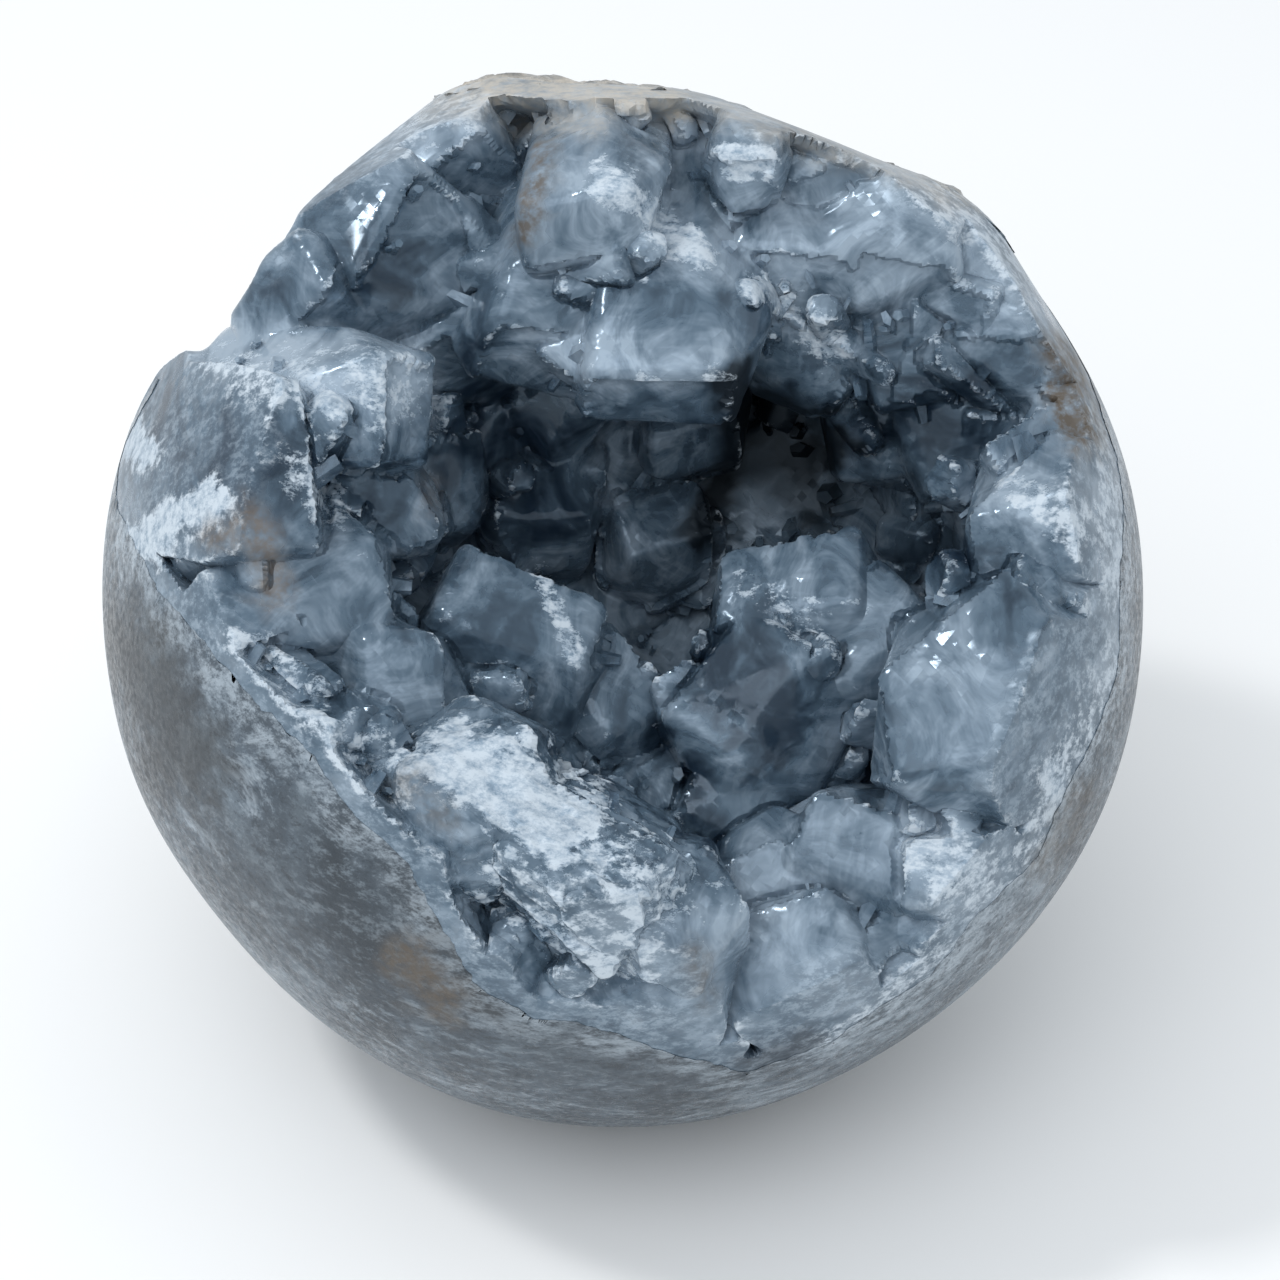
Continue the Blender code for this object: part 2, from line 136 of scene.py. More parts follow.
# Painted shade: near-black crystals where the hollow is deepest; also near-black windows low in the mouth
PAINTED_HOLE_SHADE_AND_WINDOWS = (
    ((9.0, 15.4), (15.4, 12.0), 3.8, 1.4),
    ((11.0, 11.5), (15.5, 8.0), 3.6, 0.85),
    ((9.0, 12.0), (6.0, 5.5), 2.4, 1.2),
    ((9.4, -33.4), (12.9, -31.9), 1.6, 0.7),
)
PALE = (
    ((0.0, -24.0), (6.0, -28.0), 5.0, 0.55),
    ((-16.0, 36.0), (-12.0, 37.0), 5.0, 0.8),
    ((-3.0, 29.0), (7.0, 27.0), 5.0, 0.4),
    ((-7.0, 19.0), (8.0, 17.0), 3.4, 0.55),
    ((11.0, 29.0), (24.0, 24.0), 6.0, 0.35),
    ((-28.0, 18.5), (-16.0, 16.0), 4.5, 0.75),
    ((20.0, -3.0), (32.0, -10.0), 7.0, 0.12),
    ((21.5, -16.5), (26.5, -21.5), 4.2, 0.8),
    ((9.0, -22.0), (17.0, -28.0), 5.0, 0.4),
    ((28.0, 8.0), (36.0, 3.0), 5.0, 0.5),
    ((35.5, 8.0), (37.0, -6.0), 4.0, 0.7),
    ((-2.0, 38.0), (9.0, 36.0), 3.5, 0.6),
    ((20.0, 31.0), (33.0, 21.0), 4.0, 0.5),
    ((-32.0, -2.0), (-20.0, -14.0), 4.0, 0.4),
)
DARK = (
    ((-32.0, 13.0), (-24.0, 10.0), 5.5, 0.55),
    ((7.0, -5.0), (11.0, -9.0), 4.5, 0.8),
    ((2.5, -9.6), (2.5, -9.6), 1.8, 1.0),
    ((-11.0, 15.0), (-4.0, 8.0), 7.0, 0.6),
    # Painted shade: these two marks darken the crystals in the deep hole right of the middle
    ((9.0, 14.5), (14.0, 12.0), 4.5, 1.0),
    ((9.0, 12.0), (6.0, 5.0), 2.5, 1.0),
    ((17.0, 13.0), (25.0, 14.0), 5.0, 0.6),
    ((26.3, 16.1), (26.3, 16.1), 2.4, 0.8),
    ((-27.0, 13.0), (-17.0, 8.0), 4.0, 0.5),
    ((-21.0, 29.0), (-18.0, 25.0), 4.0, 0.4),
    ((-25.5, 22.7), (-25.5, 22.7), 2.5, 0.7),
    ((32.1, 4.2), (32.1, 4.2), 2.2, 0.8),
    ((22.0, 4.5), (28.0, 2.0), 3.0, 0.5),
    ((9.4, -33.4), (12.9, -31.9), 2.6, 0.8),
    ((5.0, -13.0), (7.0, -19.0), 2.4, 0.7),
    ((-5.0, -9.5), (-2.0, -12.5), 2.4, 0.5),
)

# The white mass low in the mouth is cleaved into fibres that run along this line, face on
FIBRE_START = Vector((-11.5, -10.5, 31.0))
FIBRE_END = Vector((3.5, -21.5, 30.0))


class GeodeSizes(bpy.types.PropertyGroup):
    grain: FloatProperty(
        name="Grain",
        description="Finest form kept on the crystals",
        default=0.00027,
        subtype="DISTANCE",
    )
    relief: FloatProperty(
        name="Relief",
        description="Height of the etched steps on rough faces",
        default=0.00016,
        subtype="DISTANCE",
    )
    block_spacing: FloatProperty(
        name="Block spacing",
        description="Distance between medium crystals",
        default=0.0030,
        subtype="DISTANCE",
    )
    druse_spacing: FloatProperty(
        name="Druse spacing",
        description="Distance between small crystals",
        default=0.0016,
        subtype="DISTANCE",
    )
    seed: IntProperty(
        name="Seed",
        description="Changes how small crystals are strewn",
        default=4,
    )


class GeodeColours(bpy.types.PropertyGroup):
    rock_dark: FloatVectorProperty(
        name="Rock dark",
        description="Darker cloud in the rock",
        default=srgb("#333d46"),
        subtype="COLOR",
    )
    rock_light: FloatVectorProperty(
        name="Rock light",
        description="Paler cloud in the rock",
        default=srgb("#4f5b66"),
        subtype="COLOR",
    )
    rock_white: FloatVectorProperty(
        name="Rock white",
        description="White mottles in the rock",
        default=srgb("#9da8b1"),
        subtype="COLOR",
    )
    crystal_dark: FloatVectorProperty(
        name="Crystal dark",
        description="Darkest body of the crystals",
        default=srgb("#374c61"),
        subtype="COLOR",
    )
    crystal: FloatVectorProperty(
        name="Crystal",
        description="Middle tone of the crystals",
        default=srgb("#6f879b"),
        subtype="COLOR",
    )
    crystal_pale: FloatVectorProperty(
        name="Crystal pale",
        description="Milky parts of the crystals",
        default=srgb("#a8b9c8"),
        subtype="COLOR",
    )
    absorbed: FloatVectorProperty(
        name="Depth tint",
        description="Tint that light takes on in the crystals",
        default=srgb("#9cb6cc"),
        subtype="COLOR",
    )
    frost: FloatVectorProperty(
        name="Frost",
        description="Frosted and fibrous celestite",
        default=srgb("#bfc9d1"),
        subtype="COLOR",
    )
    rust: FloatVectorProperty(
        name="Rust",
        description="Iron stain",
        default=srgb("#7c6850"),
        subtype="COLOR",
    )
    earth: FloatVectorProperty(
        name="Earth",
        description="Brown clay",
        default=srgb("#5b5145"),
        subtype="COLOR",
    )
    cream: FloatVectorProperty(
        name="Cream",
        description="Fine pale rock",
        default=srgb("#bdb5a8"),
        subtype="COLOR",
    )


def face_on(right, up, out):
    """World vector, in metres, of a face-on vector in millimetres."""
    tilt = math.radians(MOUTH_ELEVATION)
    right_axis = Vector((1.0, 0.0, 0.0))
    up_axis = Vector((0.0, math.sin(tilt), math.cos(tilt)))
    out_axis = Vector((0.0, -math.cos(tilt), math.sin(tilt)))
    return (right_axis * right + up_axis * up + out_axis * out) * MM


def face_on_places(points):
    """Face-on places, in millimetres, of world points in an array."""
    axes = np.array([face_on(1, 0, 0), face_on(0, 1, 0), face_on(0, 0, 1)]) / MM
    return (points - np.array(BALL_CENTRE)) @ axes.T / MM


def ball_radii(points):
    """Radius of the tumbled surface, in millimetres, in the direction of each world point."""
    away = points - np.array(BALL_CENTRE)
    away = away / np.linalg.norm(away, axis=1, keepdims=True)
    radii = np.full(len(points), BALL_RADIUS)
    for toward, height, spread in LUMPS:
        aim = np.array(face_on(*toward).normalized())
        angle = np.degrees(np.arccos(np.clip(away @ aim, -1, 1)))
        radii += height * np.exp(-((angle / spread) ** 2))
    waves = np.array([noise.noise(Vector(way) * WAVE_PITCH) for way in away])
    return radii + WAVINESS * waves


def mark_strength(places, marks, raggedness, behind=6.0):
    """How strongly marks show at face-on places, with edges made ragged by an array of noise. Marks lie
    on the side that the mouth is on, and end a distance behind the middle of the ball."""
    strength = np.zeros(len(places))
    flat = places[:, :2]
    for start, end, reach, most in marks:
        start = np.array(start)
        along = np.array(end) - start
        share = (flat - start) @ along / max(along @ along, 1e-9)
        nearest = start + np.clip(share, 0, 1)[:, None] * along
        distance = np.linalg.norm(flat - nearest, axis=1) / reach + raggedness
        strength = np.maximum(strength, most * np.clip(1.5 - 1.5 * distance, 0, 1))
    return strength * np.clip((places[:, 2] + behind) / 6, 0, 1)


def noise_at(places, pitch, octaves=3, offset=0.0):
    """Fractal noise at face-on places, about -1 to 1, whose largest lumps are a pitch in mm across."""
    shift = Vector((offset, offset * 0.7, -offset))
    return np.array([noise.fractal(Vector(p) / pitch + shift, 0.6, 2.0, octaves) for p in places])


def mesh_points(mesh):
    points = np.empty(len(mesh.vertices) * 3)
    mesh.vertices.foreach_get("co", points)
    return points.reshape(-1, 3)


def mesh_normals(mesh):
    normals = np.empty(len(mesh.vertices) * 3)
    mesh.vertices.foreach_get("normal", normals)
    return normals.reshape(-1, 3)


def set_points(mesh, points):
    mesh.vertices.foreach_set("co", points.ravel())
    mesh.update()


def set_share(mesh, name, values):
    """Stores one number for each point of a mesh, for its material and its scattering to read."""
    layer = mesh.attributes.get(name) or mesh.attributes.new(name, "FLOAT", "POINT")
    layer.data.foreach_set("value", np.clip(values, 0, 1).astype(np.float32))


def add_share(mesh, name, values):
    """Adds numbers to those that a mesh's points already have under a name."""
    had = np.empty(len(mesh.vertices), dtype=np.float32)
    mesh.attributes[name].data.foreach_get("value", had)
    set_share(mesh, name, had + values)


def distance_to(points, marks):
    """Distance in millimetres from each point to the nearest of some marks."""
    near = kdtree.KDTree(len(marks))
    for index, mark in enumerate(marks):
        near.insert(mark, index)
    near.balance()
    return np.array([near.find(point)[2] for point in points]) / MM


def add_object(name, mesh):
    thing = bpy.data.objects.new(name, mesh)
    bpy.context.scene.collection.objects.link(thing)
    return thing


def copy_of_node(name, node):
    """A merged copy of a solid's mesh as a new object."""
    solid = bmesh.new()
    solid.from_mesh(bpy.data.objects[node].data)
    bmesh.ops.remove_doubles(solid, verts=solid.verts, dist=1e-7)
    mesh = bpy.data.meshes.new(name)
    solid.to_mesh(mesh)
    solid.free()
    return add_object(name, mesh)


def apply_modifiers(thing):
    """Swaps an object's mesh for the one its modifiers make, and removes them."""
    bpy.context.view_layer.update()
    graph = bpy.context.evaluated_depsgraph_get()
    finished = thing.evaluated_get(graph)
    mesh = bpy.data.meshes.new_from_object(finished, preserve_all_data_layers=True, depsgraph=graph)
    thing.modifiers.clear()
    thing.data = mesh
    mesh.name = thing.name


def remeshed(thing, size):
    change = thing.modifiers.new("union", "REMESH")
    change.mode = "VOXEL"
    change.voxel_size = size
    apply_modifiers(thing)


def softened(thing, rounds):
    """Rounds an object's edges off, as edges that water has dissolved are."""
    change = thing.modifiers.new("soften", "SMOOTH")
    change.iterations = rounds
    apply_modifiers(thing)


def thinned(thing, most):
    """Brings an object under a number of triangles, which are lost first where it is flat."""
    triangles = 2 * len(thing.data.polygons)
    if triangles <= most:
        return
    change = thing.modifiers.new("thin", "DECIMATE")
    change.ratio = most / triangles
    apply_modifiers(thing)


def add_node(tree, kind, settings=None, inputs=None):
    """Adds a node, sets its own settings, then sets or links its inputs."""
    node = tree.nodes.new(kind)
    for name, value in (settings or {}).items():
        setattr(node, name, value)
    for name, value in (inputs or {}).items():
        if isinstance(value, bpy.types.NodeSocket):
            tree.links.new(value, node.inputs[name])
        else:
            node.inputs[name].default_value = value
    return node


def new_material(name):
    material = bpy.data.materials.new(name)
    material.use_nodes = True
    tree = material.node_tree
    tree.nodes.clear()
    return material, tree


def ramp(tree, factor, stops):
    """A colour ramp from a list of places and linear colours."""
    node = add_node(tree, "ShaderNodeValToRGB", inputs={"Fac": factor})
    marks = node.color_ramp.elements
    while len(marks) < len(stops):
        marks.new(0.5)
    for mark, (spot, colour) in zip(marks, stops):
        mark.position = spot
        mark.color = (*colour, 1.0)
    return node.outputs["Color"]


def share(tree, name):
    return add_node(tree, "ShaderNodeAttribute", {"attribute_name": name}).outputs["Fac"]


def mixed(tree, factor, first, second):
    """Two colours mixed by a factor."""
    node = add_node(tree, "ShaderNodeMix", {"data_type": "RGBA"})
    for index, value in ((0, factor), (6, first), (7, second)):
        if isinstance(value, bpy.types.NodeSocket):
            tree.links.new(value, node.inputs[index])
        else:
            node.inputs[index].default_value = value
    return node.outputs[2]


def maths(tree, operation, first, second=0.5, clamp=False):
    node = add_node(tree, "ShaderNodeMath", {"operation": operation, "use_clamp": clamp})
    for index, value in ((0, first), (1, second)):
        if isinstance(value, bpy.types.NodeSocket):
            tree.links.new(value, node.inputs[index])
        else:
            node.inputs[index].default_value = value
    return node.outputs[0]


def between(tree, value, low, high, to_low, to_high):
    inputs = {"Value": value, "From Min": low, "From Max": high, "To Min": to_low, "To Max": to_high}
    return add_node(tree, "ShaderNodeMapRange", inputs=inputs).outputs["Result"]


def pattern(tree, kind, size_mm, stretch=(1, 1, 1), turn=(0, 0, 0), **inputs):
    """A texture on object coordinates whose pattern has a real size in mm."""
    place = add_node(tree, "ShaderNodeTexCoord").outputs["Object"]
    scale = [1 / (size_mm * MM * side) for side in stretch]
    turns = [math.radians(angle) for angle in turn]
    placing = {"Vector": place, "Rotation": turns, "Scale": scale}
    turned = add_node(tree, "ShaderNodeMapping", inputs=placing)
    inputs = {name.replace("_", " "): value for name, value in inputs.items()}
    return add_node(tree, kind, inputs={"Vector": turned.outputs["Vector"], "Scale": 1.0, **inputs})


def four(colour):
    return (*colour, 1.0)


def stained(tree, colour, colours):
    """Lays cream rock, clay and iron stain over a colour, where the piece's marks say."""
    specks = pattern(tree, "ShaderNodeTexNoise", 1.1, Detail=3.0, Roughness=0.7).outputs["Fac"]
    for name, tint in (("cream", colours.cream), ("earth", colours.earth), ("rust", colours.rust)):
        broken = between(tree, specks, 0.32, 0.6, 0.35, 1.15)
        amount = maths(tree, "MULTIPLY", share(tree, name), broken, clamp=True)
        colour = mixed(tree, amount, colour, four(tint))
    return colour


def cells_of(tree, size_mm, turn):
    """A colour that is the same all over a small block, as cleavage blocks in the crystals are."""
    place = add_node(tree, "ShaderNodeTexCoord").outputs["Object"]
    inputs = {
        "Vector": place,
        "Rotation": [math.radians(a) for a in turn],
        "Scale": [1 / (size_mm * MM)] * 3,
    }
    scaled = add_node(tree, "ShaderNodeMapping", inputs=inputs).outputs["Vector"]
    block = add_node(tree, "ShaderNodeVectorMath", {"operation": "FLOOR"}, {0: scaled}).outputs[0]
    return add_node(tree, "ShaderNodeTexWhiteNoise", inputs={"Vector": block}).outputs["Color"]


def tilted(tree, size_mm, amount):
    """The surface's normal, tipped by an amount that changes from one small facet to the next."""
    cells = cells_of(tree, size_mm, (35, 50, 20))
    kind = "ShaderNodeVectorMath"
    centred = add_node(tree, kind, {"operation": "SUBTRACT"}, {0: cells, 1: (0.5, 0.5, 0.5)})
    sized = add_node(tree, kind, {"operation": "SCALE"}, {0: centred.outputs[0], "Scale": amount})
    normal = add_node(tree, "ShaderNodeNewGeometry").outputs["Normal"]
    tipped = add_node(tree, kind, {"operation": "ADD"}, {0: normal, 1: sized.outputs[0]})
    return add_node(tree, kind, {"operation": "NORMALIZE"}, {0: tipped.outputs[0]}).outputs[0]


CELESTITE_IOR = 1.62
# How strongly the crystals tint light on its way through, per metre
ABSORPTION = 40.0


def rock_material(colours):
    """Massive celestite rock, tumbled: blue-grey, clouded and streaked with pale grains under a satin
    polish, dull where it is broken, and frosted white along the rim of the mouth."""
    material, tree = new_material("tumbled massive celestite")
    kind = "ShaderNodeTexNoise"
    grainy = {"Roughness": 0.85}
    clouds = pattern(tree, kind, 13, (1, 1, 1.7), (20, 30, 0), Detail=3.0, Roughness=0.62, Distortion=0.6)
    mottles = pattern(tree, kind, 5.0, (2.2, 1, 1), (0, 50, 20), Detail=5.0, Distortion=0.6, **grainy)
    flecks = pattern(tree, kind, 1.2, (2.2, 1, 1), (0, 55, 10), Detail=4.0, **grainy)
    grains = pattern(tree, kind, 0.5, Detail=1.0)
    base = ramp(
        tree,
        clouds.outputs["Fac"],
        ((0.36, colours.rock_dark), (0.52, colours.rock_light), (0.68, srgb("#6a7781"))),
    )
    white = between(tree, mottles.outputs["Fac"], 0.54, 0.66, 0.0, 0.8)
    base = mixed(tree, white, base, four(colours.rock_white))
    dark = between(tree, mottles.outputs["Fac"], 0.45, 0.34, 0.0, 0.75)
    base = mixed(tree, dark, base, four(colours.rock_dark))
    pale_fleck = between(tree, flecks.outputs["Fac"], 0.52, 0.64, 0.0, 0.7)
    base = mixed(tree, pale_fleck, base, four(srgb("#828f99")))
    dark_fleck = between(tree, flecks.outputs["Fac"], 0.46, 0.38, 0.0, 0.7)
    base = mixed(tree, dark_fleck, base, four(colours.rock_dark))
    # The rock darkened at its dark patches, and by painted shade low on the ball
    base = mixed(tree, maths(tree, "MULTIPLY", share(tree, "shade"), 0.85), base, four(srgb("#2c3033")))
    patches = between(tree, flecks.outputs["Fac"], 0.42, 0.6, 0.1, 1.1)
    broken_frost = maths(tree, "MULTIPLY", share(tree, "frost"), patches)
    base = mixed(tree, broken_frost, base, four(colours.rock_white))
    base = stained(tree, base, colours)
    polish = share(tree, "polish")
    base = mixed(tree, maths(tree, "MULTIPLY", share(tree, "wall"), 0.8), base, four(srgb("#27425c")))
    rough = between(tree, grains.outputs["Fac"], 0.35, 0.7, 0.24, 0.46)
    rough = maths(tree, "MAXIMUM", rough, between(tree, polish, 0.0, 1.0, 0.85, 0.0))
    depth = between(tree, polish, 0.0, 1.0, 0.7, 0.12)
    raised = {"Strength": depth, "Distance": 0.4 * MM, "Height": flecks.outputs["Fac"]}
    bump = add_node(tree, "ShaderNodeBump", inputs=raised)
    shader = add_node(
        tree,
        "ShaderNodeBsdfPrincipled",
        inputs={
            "Base Color": base,
            "Roughness": rough,
            "IOR": CELESTITE_IOR,
            "Specular IOR Level": 0.22,
            "Normal": bump.outputs["Normal"],
        },
    )
    add_node(tree, "ShaderNodeOutputMaterial", inputs={"Surface": shader.outputs["BSDF"]})
    return material


# Length and widths, in mm, of the fibres and veils inside a crystal
THREAD_LONG = 5.0
THREAD_WIDE = 0.6
VEIL_WIDE = 1.6


def threads_in(tree):
    """Fine fibres and veils whose direction changes from crystal to crystal."""
    cells = cells_of(tree, 9.0, (20, 35, 65))
    turn = add_node(tree, "ShaderNodeVectorMath", {"operation": "SCALE"}, {0: cells, "Scale": math.tau})
    place = add_node(tree, "ShaderNodeTexCoord").outputs["Object"]
    turned = add_node(
        tree,
        "ShaderNodeVectorRotate",
        {"rotation_type": "EULER_XYZ"},
        {"Vector": place, "Rotation": turn.outputs[0]},
    )
    scale = (1 / (THREAD_LONG * MM), 1 / (THREAD_WIDE * MM), 1 / (VEIL_WIDE * MM))
    stretched = add_node(
        tree, "ShaderNodeMapping", inputs={"Vector": turned.outputs["Vector"], "Scale": scale}
    )
    inputs = {"Vector": stretched.outputs["Vector"], "Scale": 1.0, "Detail": 2.0}
    return add_node(tree, "ShaderNodeTexNoise", inputs=inputs).outputs["Fac"]


def crystal_material(colours):
    """Celestite crystal: blue-grey and see-through, with milky clouds and fine fibres inside it, glassy
    on its faces, white where it is frosted or cleaved, white along its edges as frost and partly as a
    painted glint, and painted near black, as shade, where the hollow is deepest."""
    material, tree = new_material("celestite crystal")
    kind = "ShaderNodeTexNoise"
    folds = {"Detail": 4.0, "Roughness": 0.62, "Distortion": 1.2}
    clouds = pattern(tree, kind, 5.0, (1, 1.8, 0.8), (30, 0, 40), **folds)
    threads = threads_in(tree)
    flecks = pattern(tree, kind, 1.0, (1.5, 1, 1), (0, 50, 30), Detail=4.0, Roughness=0.8)
    milk = between(tree, clouds.outputs["Fac"], 0.34, 0.66, -0.22, 0.26)
    tone = maths(tree, "ADD", share(tree, "tone"), milk)
    streaks = between(tree, threads, 0.5, 0.7, 0.0, 0.12)
    tone = maths(tree, "ADD", tone, streaks, clamp=True)
    base = ramp(
        tree, tone, ((0.08, colours.crystal_dark), (0.45, colours.crystal), (0.92, colours.crystal_pale))
    )
    # Painted shade: crystals in the deepest part of the hollow, and the windows low in the mouth, coloured
    # near black
    base = mixed(tree, share(tree, "hollow"), base, four(srgb("#0b131a")))
    cut = ramp(
        tree,
        flecks.outputs["Fac"],
        (
            (0.36, colours.rock_dark),
            (0.48, colours.rock_light),
            (0.58, srgb("#8f9ca7")),
            (0.68, colours.rock_white),
        ),
    )
    base = mixed(tree, maths(tree, "MULTIPLY", share(tree, "skin"), 0.6), base, cut)
    # Frost marks, with the white on convex edges, which is partly frost and partly a painted glint
    marked = maths(tree, "ADD", share(tree, "frost"), maths(tree, "MULTIPLY", share(tree, "wear"), 0.5))
    frost_sum = maths(tree, "ADD", maths(tree, "MULTIPLY", marked, 0.6), flecks.outputs["Fac"])
    frost = between(tree, frost_sum, 0.74, 0.92, 0.0, 1.0)
    whiteness = between(tree, flecks.outputs["Fac"], 0.36, 0.58, 0.0, 1.0)
    white = mixed(tree, whiteness, four(srgb("#8496a6")), four(colours.frost))
    base = mixed(tree, frost, base, white)
    base = stained(tree, base, colours)
    cover = maths(tree, "MAXIMUM", frost, maths(tree, "MULTIPLY", share(tree, "skin"), 0.6))
    # Where the hole's shade is painted, the crystals let little light through
    cover = maths(tree, "MAXIMUM", cover, maths(tree, "MULTIPLY", share(tree, "hollow"), 0.9))
    for name in ("rust", "earth", "cream"):
        cover = maths(tree, "MAXIMUM", cover, share(tree, name))
    clearness = between(tree, tone, 0.2, 0.9, 0.7, 0.3)
    clear = maths(tree, "MULTIPLY", clearness, between(tree, cover, 0.0, 0.9, 1.0, 0.05))
    rough = maths(tree, "ADD", between(tree, cover, 0.0, 1.0, 0.12, 0.5), share(tree, "etched"), clamp=True)
    tip = between(tree, clouds.outputs["Fac"], 0.47, 0.64, 0.02, 0.26)
    shader = add_node(
        tree,
        "ShaderNodeBsdfPrincipled",
        inputs={
            "Base Color": base,
            "Roughness": rough,
            "IOR": CELESTITE_IOR,
            "Transmission Weight": clear,
            "Normal": tilted(tree, 0.65, tip),
        },
    )
    shader.inputs["Specular Tint"].default_value = four(srgb("#c4d6e6"))
    depth = add_node(
        tree, "ShaderNodeVolumeAbsorption", inputs={"Color": four(colours.absorbed), "Density": ABSORPTION}
    )
    add_node(
        tree,
        "ShaderNodeOutputMaterial",
        inputs={"Surface": shader.outputs["BSDF"], "Volume": depth.outputs["Volume"]},
    )
    return material


def standing_out(mesh, rounds):
    """How far, in millimetres, each point of a mesh stands out from the mesh once it is smoothed by a
    number of rounds. It is below zero in a recess."""
    ends = np.empty(len(mesh.edges) * 2, dtype=np.int64)
    mesh.edges.foreach_get("vertices", ends)
    first, second = ends.reshape(-1, 2).T
    both = np.concatenate([first, second])
    other = np.concatenate([second, first])
    points = mesh_points(mesh)
    count = np.maximum(np.bincount(both, minlength=len(points)), 1)
    smooth = points.copy()
    for _ in range(rounds):
        for axis in range(3):
            total = np.bincount(both, weights=smooth[other, axis], minlength=len(points))
            smooth[:, axis] = 0.5 * smooth[:, axis] + 0.5 * total / count
    return ((points - smooth) * mesh_normals(mesh)).sum(1) / MM


MARKS = {"frost": FROST, "rust": RUST, "earth": EARTH, "cream": CREAM, "shade": DARK_PATCHES_AND_PAINTED_SHADE}


def set_marks(mesh, places):
    """Stores on a piece how strongly each kind of mark shows at each of its points."""
    ragged = 0.35 * noise_at(places, 2.6, 4, 3.0)
    for name, marks in MARKS.items():
        set_share(mesh, name, mark_strength(places, marks, ragged))
    # The painted hole shade and the dark windows, at any depth
    set_share(mesh, "hollow", mark_strength(places, PAINTED_HOLE_SHADE_AND_WINDOWS, ragged, BALL_RADIUS))
    pale = mark_strength(places, PALE, ragged)
    dark = mark_strength(places, DARK, ragged)
    set_share(mesh, "tone", 0.48 + 0.5 * pale - 0.5 * dark)


# In mm: how far under the ball's surface a point still belongs to it, how high the flat spot reaches,
# and how wide the frosted band along the rim is
ON_BALL = 0.2
FOOT_FLAT = 0.05
RIM_FROST_WIDTH = 3.5


def make_rock(material):
    """The rock: its solid made finer, with the tumbled outside true to the ball and the broken
    surfaces rough."""
    thing = copy_of_node("rock", "geode_shell")
    fine = bmesh.new()
    fine.from_mesh(thing.data)
    bmesh.ops.triangulate(fine, faces=fine.faces)
    bmesh.ops.subdivide_edges(fine, edges=fine.edges, cuts=5, use_grid_fill=True)
    bmesh.ops.triangulate(fine, faces=fine.faces)
    fine.to_mesh(thing.data)
    fine.free()
    mesh = thing.data
    points = mesh_points(mesh)
    places = face_on_places(points)
    radii = np.linalg.norm(places, axis=1)
    surface = ball_radii(points)
    on_ball = radii > surface - ON_BALL
    above_foot = points[:, 2] > FOOT_FLAT * MM
    snapped = np.array(BALL_CENTRE) + (points - np.array(BALL_CENTRE)) * (surface / radii)[:, None]
    snapped[:, 2] = np.maximum(snapped[:, 2], 0.0)
    # The wall of the hollow grows a little into the crystals, so that no gap shows at the rim
    normals = mesh_normals(mesh)
    radial = (points - np.array(BALL_CENTRE)) / (radii * MM)[:, None]
    wall = ~on_ball & ((normals * radial).sum(1) < 0.1)
    near_rim = np.clip(2.0 - (surface - radii) / 2.0, 0, 1)
    pits = 0.45 * noise_at(places, 3.4, 4) + 0.25 * noise_at(places, 1.1, 2, 5.0)
    pitted = np.where(wall | on_ball, near_rim * (0.8 + pits), 1.3 * pits)
    rough = points + normals * (pitted * MM)[:, None]
    rim = on_ball & ((normals * radial).sum(1) < 0.95)
    drawn = rough - np.array(BALL_CENTRE)
    drawn *= (surface * MM / np.linalg.norm(drawn, axis=1))[:, None]
    rough_places = np.linalg.norm(face_on_places(rough), axis=1)
    inside = rough_places > surface
    rough[inside] = snapped[inside]
    snapped[rim] = np.array(BALL_CENTRE) + drawn[rim]
    crumbs = mark_strength(places, CREAM, 0.0) * (0.6 * noise_at(places, 2.4, 4, 8.0) - 0.3)
    snapped += radial * (crumbs * MM)[:, None]
    moved = np.where(on_ball[:, None], snapped, rough)
    points = np.where(above_foot[:, None], moved, points)
    set_points(mesh, points)
    set_share(mesh, "polish", on_ball.astype(float))
    set_share(mesh, "wall", wall.astype(float))
    set_marks(mesh, face_on_places(points))
    # The rim is frosted white, in a band with a ragged edge
    band = 1.1 - distance_to(points, points[rim]) / RIM_FROST_WIDTH
    band += 0.6 * noise_at(face_on_places(points), 2.6, 3, 15.0)
    add_share(mesh, "frost", 0.6 * np.clip(band, 0, 1))
    mesh.materials.clear()
    mesh.materials.append(material)
    mesh.shade_smooth()
    mesh.set_sharp_from_angle(angle=math.radians(35))
    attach(thing, "root")
    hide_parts("geode_shell")


